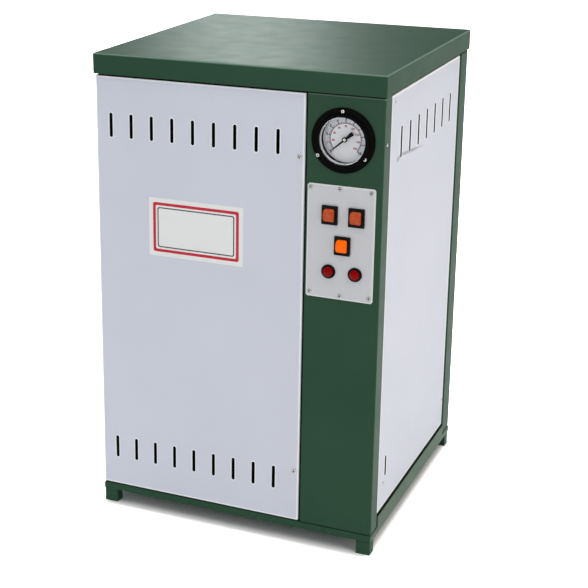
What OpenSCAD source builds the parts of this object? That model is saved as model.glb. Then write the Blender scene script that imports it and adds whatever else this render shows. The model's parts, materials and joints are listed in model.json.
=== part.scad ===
// Electric steam generator in a folded-sheet cabinet: a welded base tray on four
// feet, an angle-section frame, hung panels with air slots, a pan-shaped lid, and
// a control fascia that carries a pressure gauge and a plate of pilot lamps.
// X runs to the right, Y to the rear and Z up; the front faces -Y.

/* [Cabinet] */
// Width over the lid
lid_w = 407.4; // [380:0.2:480]
// Depth over the lid
lid_d = 400; // [360:1:480]
// Height from the floor to the top of the lid
cabinet_h = 656; // [620:1:760]
// Thickness of the folded steel sheet
sheet = 1.5; // [1:0.1:2]
// Inside radius of every fold
bend_r = 0.5; // [0.3:0.1:1]
// How far the lid stands out past the cabinet's sides
side_overhang = 1.9; // [1:0.1:6]
// How far the lid stands out past the cabinet's front and rear
end_overhang = 3.2; // [2:0.2:6]
// Depth of the lid's skirt
lid_skirt = 27.5; // [20:0.5:40]
// Open gap between the lid's skirt and the panels
lid_gap = 2; // [1:0.1:5]

/* [Base] */
// Height of the feet
foot_h = 19; // [12:1:40]
// Width of a foot
foot_w = 20; // [14:1:30]
// Depth of a foot
foot_d = 16; // [14:1:30]
// Wall of a foot's box section
foot_wall = 2; // [1.5:0.5:3]
// How far a foot stands in from the tray's edge
foot_inset = 1; // [0.5:0.5:6]
// How far the tray stands out past the cabinet's faces
tray_proud = 0.8; // [0:0.1:1.5]
// Height of the tray's front and rear rims
rim_h = 10; // [8:0.5:16]
// Height of the tray's side walls between the corners
sill_h = 25; // [20:0.5:40]
// Width of the flange that turns in at the top of the rims
tray_flange = 54; // [50:1:70]

/* [Frame] */
// Step from the cabinet's faces back to the side and rear panels
panel_recess = 1.8; // [1.6:0.1:4]
// Length of a corner post's leg along a panel
post_leg = 47; // [44:1:60]
// Clearance between the gauge's case and the front post beside it
gauge_clear = 4.2; // [2:0.1:8]
// Lap of a top rail behind the panels
rail_lap = 16; // [10:1:30]
// Width of a top rail's flange under the lid
rail_flange = 20; // [12:1:30]
// Width of the mullion behind the seam of door and fascia
mullion_w = 26; // [20:1:28]
// Depth of the mullion's stiffening flange
mullion_flange = 16; // [10:1:30]

/* [Panels] */
// Width of the control fascia
fascia_w = 102; // [98:1:110]
// Length that door and fascia turn round onto the cabinet's sides
wrap_l = 28; // [22:1:32]
// Face width of a rear corner cover
cover_w = 36; // [30:1:38]
// Gap between the door and the fascia
door_gap = 2.5; // [1:0.1:4]
// Gap between the door or the rear panel and the base tray
door_lift = 1.2; // [0.6:0.1:3]
// Thin seam between the green skins and the base tray
skin_seam = 0.6; // [0.3:0.1:1.5]
// Gap round the side and rear panels
panel_gap = 1.8; // [1:0.1:3]
// Step from the skins' top edge down to the side panels
panel_drop = 2.2; // [0:0.1:6]
// Corner radius of the side and rear panels
panel_corner_r = 3; // [1:0.5:8]

/* [Air slots] */
// Width of an air slot
slot_w = 4; // [3:0.5:6]
// Length of a slot in the door and the rear panel
door_slot_l = 32.5; // [20:0.5:50]
// Slots in each row of the door
door_slots = 9; // [3:1:9]
// Centre of the first slot from the door's outer edge
door_slot_start = 22.5; // [12:0.5:30]
// Centre of the last slot from the door's inner edge
door_slot_end = 36.6; // [34:0.1:60]
// Drop of the upper row of slots below the panels' top edge
slot_drop = 66.4; // [45:0.1:90]
// Rise of the lower row of slots above the door's bottom edge
slot_rise = 59.3; // [45:0.1:80]
// Length of a slot in a side panel
side_slot_l = 41; // [20:1:50]
// Pitch of the side panels' slots
side_slot_pitch = 39; // [20:1:40]
// Slots in the row of a side panel
side_slots = 7; // [3:1:7]
// Centre of the first side slot from the lid's front edge
side_slot_start = 82; // [70:1:90]
// Drop of a side panel's row of slots below its top edge
side_slot_drop = 69.9; // [50:0.1:90]
// Place of a side panel's single low slot from the lid's front edge
low_slot_y = 67; // [50:1:120]
// Rise of a side panel's single low slot above its bottom edge
low_slot_rise = 60; // [40:1:90]
// Length of a side panel's single low slot
low_slot_l = 29; // [20:1:50]

/* [Pressure gauge] */
// Drop of the gauge's centre below the fascia's top edge
gauge_drop = 56.9; // [50:0.1:70]
// Sideways place of the gauge from the fascia's centre line
gauge_shift = -2.5; // [-3:0.5:3]
// Diameter of the gauge's case
gauge_case_d = 64; // [60:1:66]
// Depth of the gauge's case behind the fascia
gauge_case_depth = 28; // [20:1:40]
// Wall of the gauge's case
gauge_wall = 1; // [0.8:0.1:1.5]
// Diameter of the gauge's mounting flange
flange_d = 84; // [82:1:92]
// Thickness of the mounting flange
flange_t = 2.5; // [1.5:0.5:4]
// Radius of the mounting flange's outer edge
flange_edge_r = 1.2; // [0.5:0.1:1.4]
// How far the window ring stands out from the fascia
ring_proud = 6; // [5:0.5:9]
// Radial width of the window ring
ring_w = 4.5; // [3.5:0.5:5]
// Radius of the window ring's outer shoulder
shoulder_r = 3; // [1:0.5:3]
// Thickness of the lip that holds the window
ring_lip = 1; // [0.6:0.1:1.5]
// Thickness of the window
window_t = 1.5; // [1:0.1:2]
// Depth of the dial's face behind the fascia's face
dial_sink = 8.5; // [4:0.5:12]
// Length of the bright liner behind the window
liner_l = 6; // [3:0.5:8]
// Wall of the bright liner
liner_wall = 0.8; // [0.5:0.1:1]
// Height of the pointer above the dial's face
pointer_lift = 3.6; // [1.5:0.1:5]
// Thickness of the dial
dial_t = 0.8; // [0.5:0.1:1.5]
// Direction in which the pointer rests, counted from three o'clock
pointer_rest = 221; // [200:1:240]
// Length of the pointer from its spindle to its tip
pointer_l = 21; // [18:0.5:28]
// Width of the pointer where it meets its hub
needle_w = 2.4; // [1:0.1:3]
// Width of the pointer's tip
tip_w = 1.6; // [0.4:0.1:2]
// Length of the pointer's broad tail
pointer_tail_l = 13; // [8:0.5:16]
// Greatest width of the tail
pointer_tail_w = 4.2; // [3:0.1:7]
// Radius of the pointer's hub
hub_r = 3.4; // [2.5:0.1:5]
// Height of the pointer's hub
hub_h = 1.2; // [0.8:0.1:2]
// Thickness of the pointer
pointer_t = 0.6; // [0.4:0.1:1]
// Radius of the pointer's spindle
spindle_r = 1.5; // [1:0.1:2]

/* [Control plate] */
// Width of the control plate
plate_w = 90.4; // [86:0.2:94]
// Height of the control plate
plate_h = 151; // [140:1:170]
// Thickness of the control plate
plate_t = 2; // [1:0.5:3]
// Corner radius of the control plate
plate_corner_r = 3; // [1:0.5:8]
// Gap between the gauge's flange and the plate
plate_gap = 16.5; // [6:0.5:40]
// Sideways place of the plate from the fascia's centre line
plate_shift = -2.5; // [-3:0.5:2]
// Margin from the plate's edge to the window in the fascia behind it
plate_margin = 11; // [8:0.5:14]

/* [Square lamps] */
// Width of a square lamp's bezel
bezel_w = 21.2; // [20:0.2:24]
// Height of a square lamp's bezel
bezel_h = 24.8; // [23:0.2:28]
// How far a square bezel stands out from the plate
bezel_proud = 2.5; // [1.5:0.5:4]
// Width of a square bezel's black border beside the lens
side_border = 3.8; // [2.5:0.1:4.5]
// Width of a square bezel's black border above and below the lens
end_border = 3.8; // [2.5:0.1:4.5]
// Corner radius of a square lamp's lens
lens_corner_r = 2.2; // [1:0.1:4]
// Wall of a square lamp's body
lamp_wall = 1.6; // [1.2:0.1:2]
// Depth of a square lamp's body behind the plate
lamp_depth = 20; // [12:1:30]
// How far the lens's upper and lower edges stand out from the bezel
lens_proud = 0.8; // [0.4:0.1:3]
// Rise of the barrel-shaped lens from its edges to its middle
lens_bulge = 5.5; // [1:0.5:6]
// Sideways distance between the two upper lamps
lamp_pitch = 35.8; // [32:0.2:40]
// Height of the two upper lamps above the plate's centre
upper_lamp_rise = 36.4; // [33:0.2:45]
// Drop of the single lower lamp below the plate's centre
lower_lamp_drop = 2.8; // [0:0.2:5]
// Sideways place of all lamps from the plate's centre line
lamp_shift = 3.3; // [-2:0.1:4]

/* [Round lamps] */
// Diameter of a round lamp's bezel
round_d = 18.6; // [16:0.2:22]
// How far a round bezel stands out from the plate
round_proud = 2; // [2:0.5:6]
// Radial width of a round bezel's rim
round_rim = 2.7; // [2:0.1:3]
// Wall of a round lamp's body
round_wall = 1.2; // [1:0.1:1.4]
// Rise of a round lamp's dome above its bezel
dome_rise = 3; // [1:0.5:5]
// Straight part of a round lens in front of its bezel
dome_stand = 2; // [0:0.5:4]
// Drop of the round lamps below the plate's centre
round_drop = 39; // [36:0.5:45]

/* [Rear connections] */
// Outside diameter of the steam and drain threads
half_inch_d = 20.96; // [20:0.02:22]
// Outside diameter of the feed-water thread
three_quarter_d = 26.44; // [26:0.02:28]
// Width across the flats of the steam and drain nuts
half_inch_nut = 30; // [27:1:36]
// Width across the flats of the feed-water nut
three_quarter_nut = 36; // [33:1:42]
// Wall of a connection's pipe
pipe_wall = 3; // [2:0.5:4]
// Length of a connection's free thread
thread_l = 19.8; // [14:0.2:30]
// Thickness of a connection's nuts
nut_t = 7; // [4:0.5:12]
// Length of a connection's tail inside the cabinet
tail_l = 20; // [14:1:40]
// Clear diameter of the cable gland
gland_bore = 13; // [10:0.5:16]
// Outside diameter of the cable gland's thread
gland_d = 25; // [24:0.5:30]
// Width across the flats of the cable gland's nuts
gland_nut = 33; // [31:1:40]
// Length of the gland's rounded cap
gland_cap_l = 14; // [10:1:20]

/* [Clearances] */
// Clearance all round a piece that sits in a hole
fit_clear = 0.2; // [0.1:0.05:0.3]
// Radial running clearance of the pointer's spindle
spindle_clear = 0.05; // [0.02:0.01:0.1]

/* [Hidden] */
$fn = 64;
// Overrun of every cut past the face that it leaves
over = 1;
// Outside radius of a fold, and the depth from a face back to the frame
fold_r = bend_r + sheet;
seat = panel_recess + sheet;
body_w = lid_w - 2 * side_overhang;
body_d = lid_d - 2 * end_overhang;
half_w = body_w / 2;
half_d = body_d / 2;
lid_under = cabinet_h - sheet;
skin_top = cabinet_h - lid_skirt - lid_gap;
tray_top = foot_h + rim_h;
sill_top = foot_h + sill_h;
tray_w = body_w + 2 * tray_proud;
tray_d = body_d + 2 * tray_proud;
frame_w = body_w - 2 * seat;
frame_d = body_d - 2 * seat;
rail_h = lid_under - skin_top + rail_lap;
door_w = body_w - fascia_w - door_gap;
door_slot_pitch = (door_w - door_slot_start - door_slot_end) / (door_slots - 1);
door_bottom = tray_top + door_lift;
skin_bottom = tray_top + skin_seam;
seam_x = half_w - fascia_w - door_gap / 2;
fascia_x = half_w - fascia_w / 2;
side_front = wrap_l + panel_gap;
side_rear = cover_w + panel_gap;
side_panel_d = body_d - side_front - side_rear;
side_panel_bottom = sill_top + panel_gap;
slot_rows_z = [door_bottom + slot_rise, skin_top - slot_drop];
rear_panel_w = body_w - 2 * (cover_w + panel_gap);
front_face = -half_d;
rear_face = half_d - panel_recess;
// The gauge
gauge_x = fascia_x + gauge_shift;
gauge_z = skin_top - gauge_drop;
case_r = gauge_case_d / 2;
front_leg = frame_w / 2 - gauge_x - case_r - gauge_clear;
case_in_r = case_r - gauge_wall;
window_seat_r = case_r - gauge_wall / 2;
ring_r = window_seat_r + ring_w;
window_r = window_seat_r - ring_lip;
glass_level = ring_proud - ring_lip;
window_back = glass_level - window_t;
pointer_level = pointer_lift - dial_sink;
// The pointer's tail: where it is broadest, and its width at the end, as shares
tail_shoulder_share = 0.94;
tail_end_share = 0.86;
// The control plate and its lamps
plate_x = fascia_x + plate_shift;
plate_z = gauge_z - flange_d / 2 - plate_gap - plate_h / 2;
lamp_x = plate_x + lamp_shift;
lamp_places = [[-lamp_pitch / 2, upper_lamp_rise], [lamp_pitch / 2, upper_lamp_rise], [0, -lower_lamp_drop]];
round_places = [[-lamp_pitch / 2, -round_drop], [lamp_pitch / 2, -round_drop]];
lamp_body_w = bezel_w - 2 * (side_border - lamp_wall);
lamp_body_h = bezel_h - 2 * (end_border - lamp_wall);
lens_w = bezel_w - 2 * side_border;
lens_h = bezel_h - 2 * end_border;
lens_edge = bezel_proud + lens_proud;
barrel_h = lens_h - 2 * fit_clear;
barrel_r = (barrel_h * barrel_h / 4 + lens_bulge * lens_bulge) / (2 * lens_bulge);
round_in_r = round_d / 2 - round_rim;
round_body_r = round_in_r + round_wall;
dome_in_r = round_in_r - fit_clear;
dome_r = (dome_in_r * dome_in_r + dome_rise * dome_rise) / (2 * dome_rise);
// The rear connections: sideways place and height as shares of the rear panel
steam_share = [-0.28, 0.72];
water_share = [0.28, 0.30];
drain_share = [-0.28, 0.20];
gland_share = [0.28, 0.50];
rear_panel_h = skin_top - door_bottom;
rear_mid_z = (skin_top + door_bottom) / 2;
// The middle of the whole footprint, fittings included, stands over the origin
front_reach = max(lid_d / 2, half_d + max(ring_proud, plate_t + round_proud + dome_stand + dome_rise,
                  plate_t + lens_edge + lens_bulge));
rear_reach = max(lid_d / 2, rear_face + nut_t + max(thread_l, gland_cap_l));
footprint_shift = (front_reach - rear_reach) / 2;

green = [0.18, 0.29, 0.23];
white = [0.84, 0.84, 0.87];
black = [0.05, 0.05, 0.05];

// Drawing planes: local X runs to the viewer's right, local Y up, local Z outwards
module on_front(x, z) { translate([x, front_face, z]) rotate([90, 0, 0]) children(); }
module on_rear(x, z) { translate([x, rear_face, z]) rotate([90, 0, 180]) children(); }
module on_right() { translate([half_w - panel_recess, 0, 0]) rotate([90, 0, 90]) children(); }

// Both mirror images of a piece are drawn from the right-hand one
module on_side(side) { mirror([side < 0 ? 1 : 0, 0, 0]) children(); }
module at_end(end) { mirror([0, end < 0 ? 1 : 0, 0]) children(); }

// A strip of sheet seen on edge: straight legs joined by quarter-turn folds to the left
module folded_strip(legs, i = 0) {
    square([legs[i], sheet]);
    if (i < len(legs) - 1) {
        translate([legs[i], fold_r]) intersection() {
            difference() {
                circle(fold_r);
                circle(bend_r);
            }
            translate([0, -fold_r]) square(fold_r);
        }
        translate([legs[i] + fold_r, fold_r]) rotate(90) folded_strip(legs, i + 1);
    }
}

// An angle section with its outer corner at the origin and legs along -X and -Y
module angle_section(leg_x, leg_y) {
    translate([0, -leg_y]) rotate(90) folded_strip([leg_y - fold_r, leg_x - fold_r]);
}

// A rectangle with round corners, centred
module round_rect(w, h, r) {
    square([w - 2 * r, h], center = true);
    square([w, h - 2 * r], center = true);
    for (x = [-1, 1], y = [-1, 1])
        translate([x * (w / 2 - r), y * (h / 2 - r)]) circle(r);
}

// An upright air slot with round ends, centred
module slot_outline(length) {
    straight = length - slot_w;
    square([slot_w, straight], center = true);
    for (end = [-1, 1]) translate([0, end * straight / 2]) circle(slot_w / 2);
}

// A box with every edge rounded to the fold's radius, centred over its base
module rounded_box(w, d, h) {
    intersection() {
        linear_extrude(h) round_rect(w, d, fold_r);
        translate([0, d / 2, h / 2]) rotate([90, 0, 0]) linear_extrude(d) round_rect(w, h, fold_r);
        translate([-w / 2, 0, h / 2]) rotate([90, 0, 90]) linear_extrude(w) round_rect(d, h, fold_r);
    }
}

// The plan of a corner skin: a band along X to the corner at the origin, then back along Y
module corner_band(face_l, return_l, depth, margin) {
    translate([margin - face_l, margin]) square([face_l - 2 * margin, depth - margin]);
    translate([-depth, margin]) square([depth - margin, return_l - 2 * margin]);
}

// A skin that wraps a corner, with all its edges folded back to the frame
module corner_skin(face_l, return_l, height) {
    difference() {
        intersection() {
            translate([-face_l / 2, return_l / 2, 0]) rounded_box(face_l, return_l, height);
            linear_extrude(height) corner_band(face_l, return_l, seat, 0);
        }
        translate([0, 0, sheet]) linear_extrude(height - 2 * sheet)
            corner_band(face_l, return_l, seat + over, sheet);
    }
}

// Two rows of slots for a panel drawn on the front or rear plane, from the first slot's place
module slot_rows(first_x) {
    for (row = slot_rows_z, i = [0 : door_slots - 1])
        translate([first_x + i * door_slot_pitch, row]) slot_outline(door_slot_l);
}

// Base: a tray with low flanged rims front and rear and higher walls between the corners
module base_tray() {
    inner_w = tray_w - 2 * tray_flange;
    inner_d = tray_d - 2 * tray_flange;
    color(green) {
        translate([0, 0, foot_h]) difference() {
            rounded_box(tray_w, tray_d, rim_h);
            translate([0, 0, sheet]) linear_extrude(rim_h - 2 * sheet)
                square([tray_w - 2 * sheet, tray_d - 2 * sheet], center = true);
            translate([0, 0, sheet]) linear_extrude(rim_h) square([inner_w, inner_d], center = true);
        }
        for (side = [-1, 1]) on_side(side)
            translate([tray_w / 2 - sheet, side_front - half_d, tray_top - fold_r])
                cube([sheet, side_panel_d, sill_top - tray_top + fold_r]);
    }
}

// A foot: a short box section with a closed sole
module foot(side, end) {
    place_x = tray_w / 2 - foot_inset - foot_w / 2;
    place_y = tray_d / 2 - foot_inset - foot_d / 2;
    color(green) translate([side * place_x, end * place_y, 0]) difference() {
        linear_extrude(foot_h) round_rect(foot_w, foot_d, foot_wall / 2);
        translate([0, 0, foot_wall]) linear_extrude(foot_h)
            square([foot_w - 2 * foot_wall, foot_d - 2 * foot_wall], center = true);
    }
}

// Frame: corner posts of angle section, from the tray's flange to the lid
module post(side, end, leg_x) {
    color(green) on_side(side) at_end(end) translate([frame_w / 2, frame_d / 2, tray_top])
        linear_extrude(lid_under - tray_top) angle_section(leg_x, post_leg);
}

module rail(length) {
    translate([-length / 2, 0, 0]) rotate([90, 0, 90]) linear_extrude(length)
        mirror([1, 0]) angle_section(rail_flange, rail_h);
}

module rail_front() {
    color(green) translate([0, -frame_d / 2, lid_under]) rail(frame_w - 2 * front_leg);
}

module rail_rear() {
    color(green) translate([0, frame_d / 2, lid_under]) rotate(180) rail(frame_w - 2 * post_leg);
}

module rail_side(side) {
    color(green) on_side(side)
        translate([frame_w / 2, 0, lid_under]) rotate(90) rail(frame_d - 2 * post_leg);
}

module mullion() {
    color(green) translate([seam_x + mullion_w / 2, -frame_d / 2, tray_top])
        linear_extrude(lid_under - rail_h - tray_top)
            mirror([0, 1]) angle_section(mullion_w, mullion_flange);
}

// Front door: wraps the left corner and carries two rows of slots
module front_door() {
    color(white) difference() {
        translate([-half_w, -half_d, door_bottom]) mirror([1, 0, 0])
            corner_skin(door_w, wrap_l, skin_top - door_bottom);
        on_front(0, 0) translate([0, 0, -seat]) linear_extrude(seat + over)
            slot_rows(door_slot_start - half_w);
    }
}

// Control fascia: wraps the right corner, with the gauge's hole and the lamps' window
module control_fascia() {
    color(green) difference() {
        translate([half_w, -half_d, skin_bottom]) corner_skin(fascia_w, wrap_l, skin_top - skin_bottom);
        on_front(gauge_x, gauge_z) translate([0, 0, -seat])
            cylinder(h = seat + over, r = case_r + fit_clear);
        on_front(plate_x, plate_z) translate([0, 0, -seat]) linear_extrude(seat + over)
            square([plate_w - 2 * plate_margin, plate_h - 2 * plate_margin], center = true);
    }
}

module cover_rear(side) {
    color(green) on_side(side) translate([half_w, half_d, skin_bottom]) mirror([0, 1, 0])
        corner_skin(cover_w, cover_w, skin_top - skin_bottom);
}

// Side panel: one row of slots under the top and a single slot low at the front
module side_panel(side) {
    mid_y = (side_front - side_rear) / 2;
    panel_h = skin_top - panel_drop - side_panel_bottom;
    color(white) on_side(side) on_right() translate([0, 0, -sheet]) difference() {
        linear_extrude(sheet) translate([mid_y, side_panel_bottom + panel_h / 2])
            round_rect(side_panel_d, panel_h, panel_corner_r);
        translate([-lid_d / 2, 0, -over]) linear_extrude(sheet + 2 * over) {
            for (i = [0 : side_slots - 1])
                translate([side_slot_start + i * side_slot_pitch, skin_top - side_slot_drop])
                    slot_outline(side_slot_l);
            translate([low_slot_y, side_panel_bottom + low_slot_rise]) slot_outline(low_slot_l);
        }
    }
}

// Rear panel: the door's slots again, and the holes of the four connections
module rear_panel() {
    color(white) difference() {
        on_rear(0, rear_mid_z) translate([0, 0, -sheet])
            linear_extrude(sheet) round_rect(rear_panel_w, rear_panel_h, panel_corner_r);
        on_rear(0, 0) translate([0, 0, -sheet - over]) linear_extrude(sheet + 2 * over)
            slot_rows(-(door_slots - 1) * door_slot_pitch / 2);
        for (hole = [[steam_share, half_inch_d], [drain_share, half_inch_d],
                     [water_share, three_quarter_d], [gland_share, gland_d]])
            at_connection(hole[0]) translate([0, 0, -sheet - over])
                cylinder(h = sheet + 2 * over, r = hole[1] / 2 + fit_clear);
    }
}

// Lid: a pan with rounded edges, open underneath
module lid() {
    skirt_z = cabinet_h - lid_skirt;
    color(green) difference() {
        translate([0, 0, skirt_z - fold_r]) rounded_box(lid_w, lid_d, lid_skirt + fold_r);
        translate([0, 0, lid_under - lid_skirt]) linear_extrude(lid_skirt)
            square([lid_w - 2 * sheet, lid_d - 2 * sheet], center = true);
        translate([0, 0, skirt_z - fold_r - over]) linear_extrude(fold_r + over)
            square([lid_w + over, lid_d + over], center = true);
    }
}

// Pressure gauge, drawn round its axis with the fascia's face at level zero
module on_gauge() { on_front(gauge_x, gauge_z) children(); }

// The flange's half section: a flat rim with a soft edge and a raised, round-shouldered ring
module flange_section() {
    difference() {
        union() {
            rim_section(window_r, flange_d / 2, flange_t, flange_edge_r);
            rim_section(window_r, ring_r, ring_proud, shoulder_r);
        }
        square([window_seat_r, glass_level]);
    }
}

// A rectangular half section whose outer upper corner is rounded
module rim_section(in_r, out_r, height, edge_r) {
    translate([in_r, 0]) square([out_r - in_r - edge_r, height]);
    translate([in_r, 0]) square([out_r - in_r, height - edge_r]);
    translate([out_r - edge_r, height - edge_r]) circle(edge_r);
}

module gauge_flange() { color(black) on_gauge() rotate_extrude() flange_section(); }

module gauge_case() {
    color(black) on_gauge() translate([0, 0, -gauge_case_depth]) difference() {
        cylinder(h = gauge_case_depth, r = case_r);
        translate([0, 0, gauge_wall]) cylinder(h = gauge_case_depth, r = case_in_r);
    }
}

module gauge_liner() {
    liner_r = case_in_r - fit_clear;
    color("silver") on_gauge() translate([0, 0, window_back - liner_l]) difference() {
        cylinder(h = liner_l, r = liner_r);
        translate([0, 0, -over]) cylinder(h = liner_l + 2 * over, r = liner_r - liner_wall);
    }
}

module gauge_dial() {
    color("white") on_gauge() translate([0, 0, -dial_sink - dial_t]) difference() {
        cylinder(h = dial_t, r = case_in_r - fit_clear);
        translate([0, 0, -over]) cylinder(h = dial_t + 2 * over, r = spindle_r + spindle_clear);
    }
}

// The pointer tapers to its tip, has a tail that flares and turns on a spindle through the dial
module gauge_pointer() {
    spindle_base = gauge_wall + fit_clear - gauge_case_depth;
    tail_side = [[-tail_shoulder_share * pointer_tail_l, pointer_tail_w / 2],
                 [-pointer_tail_l, tail_end_share * pointer_tail_w / 2]];
    color(black) on_gauge() rotate(pointer_rest) {
        translate([0, 0, pointer_level]) {
            linear_extrude(pointer_t)
                polygon([[0, -needle_w / 2], [pointer_l, -tip_w / 2], [pointer_l, tip_w / 2],
                         [0, needle_w / 2], tail_side[0], tail_side[1],
                         [tail_side[1][0], -tail_side[1][1]], [tail_side[0][0], -tail_side[0][1]]]);
            cylinder(h = hub_h, r = hub_r);
        }
        translate([0, 0, spindle_base]) cylinder(h = pointer_level - spindle_base, r = spindle_r);
    }
}

module gauge_window() {
    color([0.9, 0.95, 1, 0.3]) on_gauge() translate([0, 0, window_back])
        cylinder(h = window_t, r = window_seat_r - fit_clear);
}

// Control plate with the holes of its lamps
module control_plate() {
    color("silver") on_front(plate_x, plate_z) difference() {
        linear_extrude(plate_t) round_rect(plate_w, plate_h, plate_corner_r);
        translate([lamp_shift, 0, -over]) linear_extrude(plate_t + 2 * over) {
            for (place = lamp_places) translate(place)
                square([lamp_body_w + 2 * fit_clear, lamp_body_h + 2 * fit_clear], center = true);
            for (place = round_places) translate(place) circle(round_body_r + fit_clear);
        }
    }
}

// A lamp's place on the plate's face
module at_lamp(place) {
    on_front(lamp_x + place[0], plate_z + place[1]) translate([0, 0, plate_t]) children();
}

// A square lamp: a black bezel with a hollow body, and a barrel-shaped lens
module square_bezel(place) {
    color(black) at_lamp(place) difference() {
        union() {
            linear_extrude(bezel_proud) round_rect(bezel_w, bezel_h, lamp_wall / 2);
            translate([0, 0, -lamp_depth]) linear_extrude(lamp_depth)
                square([lamp_body_w, lamp_body_h], center = true);
        }
        translate([0, 0, lamp_wall - lamp_depth]) linear_extrude(lamp_depth + bezel_proud)
            round_rect(lens_w, lens_h, lens_corner_r + fit_clear);
    }
}

module square_lens(place, tint) {
    lens_l = lamp_depth - lamp_wall + lens_edge + lens_bulge;
    color(tint) at_lamp(place) translate([0, 0, lamp_wall - lamp_depth]) intersection() {
        linear_extrude(lens_l) round_rect(lens_w - 2 * fit_clear, barrel_h, lens_corner_r);
        union() {
            linear_extrude(lens_l - lens_bulge) square([lens_w, lens_h], center = true);
            translate([-lens_w / 2, 0, lens_l - barrel_r]) rotate([0, 90, 0])
                cylinder(h = lens_w, r = barrel_r);
        }
    }
}

// A round lamp: a black rim with a hollow body, and a domed lens
module round_bezel(place) {
    color(black) at_lamp(place) difference() {
        union() {
            cylinder(h = round_proud, r = round_d / 2);
            translate([0, 0, -lamp_depth]) cylinder(h = lamp_depth, r = round_body_r);
        }
        translate([0, 0, round_wall - lamp_depth])
            cylinder(h = lamp_depth + round_proud, r = round_in_r);
    }
}

module round_lens(place) {
    lens_l = lamp_depth - round_wall + round_proud + dome_stand + dome_rise;
    color("red") at_lamp(place) translate([0, 0, round_wall - lamp_depth]) intersection() {
        cylinder(h = lens_l, r = dome_in_r);
        union() {
            cylinder(h = lens_l - dome_rise, r = round_d);
            translate([0, 0, lens_l - dome_r]) sphere(dome_r);
        }
    }
}

// Rear connections
module at_connection(share) {
    on_rear(share[0] * rear_panel_w, door_bottom + share[1] * rear_panel_h) children();
}

// A hexagonal nut by its width across the flats
module hex_nut(flats, thickness) { cylinder(h = thickness, r = flats / sqrt(3), $fn = 6); }

// A threaded stub clamped through the rear panel by a nut on each side
module pipe_stub(share, thread_d, nut) {
    color("gold") at_connection(share) difference() {
        union() {
            hex_nut(nut, nut_t);
            translate([0, 0, -sheet - nut_t]) hex_nut(nut, nut_t);
            translate([0, 0, -tail_l]) cylinder(h = tail_l + nut_t + thread_l, r = thread_d / 2);
        }
        translate([0, 0, -tail_l - over])
            cylinder(h = tail_l + nut_t + thread_l + 2 * over, r = thread_d / 2 - pipe_wall);
    }
}

module steam_outlet() { pipe_stub(steam_share, half_inch_d, half_inch_nut); }

module water_inlet() { pipe_stub(water_share, three_quarter_d, three_quarter_nut); }

module drain_outlet() { pipe_stub(drain_share, half_inch_d, half_inch_nut); }

module cable_gland() {
    color(black) at_connection(gland_share) difference() {
        union() {
            hex_nut(gland_nut, nut_t);
            translate([0, 0, -sheet - nut_t]) hex_nut(gland_nut, nut_t);
            translate([0, 0, -tail_l]) cylinder(h = tail_l + nut_t + gland_cap_l, r = gland_d / 2);
        }
        translate([0, 0, -tail_l - over])
            cylinder(h = tail_l + nut_t + gland_cap_l + 2 * over, r = gland_bore / 2);
    }
}

// The whole part stands with its footprint's middle over the origin
module placed() { translate([0, footprint_shift, 0]) children(); }

placed() base_tray();
placed() foot(-1, -1);  // foot_front_left
placed() foot(1, -1);  // foot_front_right
placed() foot(-1, 1);  // foot_rear_left
placed() foot(1, 1);  // foot_rear_right
placed() post(-1, -1, front_leg);  // post_front_left
placed() post(1, -1, front_leg);  // post_front_right
placed() post(-1, 1, post_leg);  // post_rear_left
placed() post(1, 1, post_leg);  // post_rear_right
placed() mullion();
placed() rail_front();
placed() rail_rear();
placed() rail_side(-1);  // rail_left
placed() rail_side(1);  // rail_right
placed() front_door();
placed() control_fascia();
placed() cover_rear(-1);  // cover_rear_left
placed() cover_rear(1);  // cover_rear_right
placed() side_panel(-1);  // side_panel_left
placed() side_panel(1);  // side_panel_right
placed() rear_panel();
placed() lid();
placed() gauge_flange();
placed() gauge_case();
placed() gauge_liner();
placed() gauge_dial();
placed() gauge_pointer();
placed() gauge_window();
placed() control_plate();
placed() square_bezel(lamp_places[0]);  // bezel_upper_left
placed() square_bezel(lamp_places[1]);  // bezel_upper_right
placed() square_bezel(lamp_places[2]);  // bezel_lower
placed() square_lens(lamp_places[0], "orangered");  // lens_upper_left
placed() square_lens(lamp_places[1], "orangered");  // lens_upper_right
placed() square_lens(lamp_places[2], "orange");  // lens_lower
placed() round_bezel(round_places[0]);  // round_bezel_left
placed() round_bezel(round_places[1]);  // round_bezel_right
placed() round_lens(round_places[0]);  // round_lens_left
placed() round_lens(round_places[1]);  // round_lens_right
placed() steam_outlet();
placed() water_inlet();
placed() drain_outlet();
placed() cable_gland();
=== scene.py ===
# %% [markdown]
# # An electric steam generator in a folded-sheet cabinet
# The object is an upright cabinet: white slotted panels, a dark green frame and lid, a pressure
# gauge and a plate of pilot lamps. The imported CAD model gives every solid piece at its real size,
# in metres. This lesson dresses it: light, finishes, and the small things that CAD leaves out,
# such as screws, dial markings and pipe threads.

# %% Load the fixed frame
import json
from functools import partial, reduce
from math import asin, cos, degrees, pi, radians, sin
from types import SimpleNamespace

import bmesh
import bpy
from mathutils import Matrix, Vector


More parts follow.
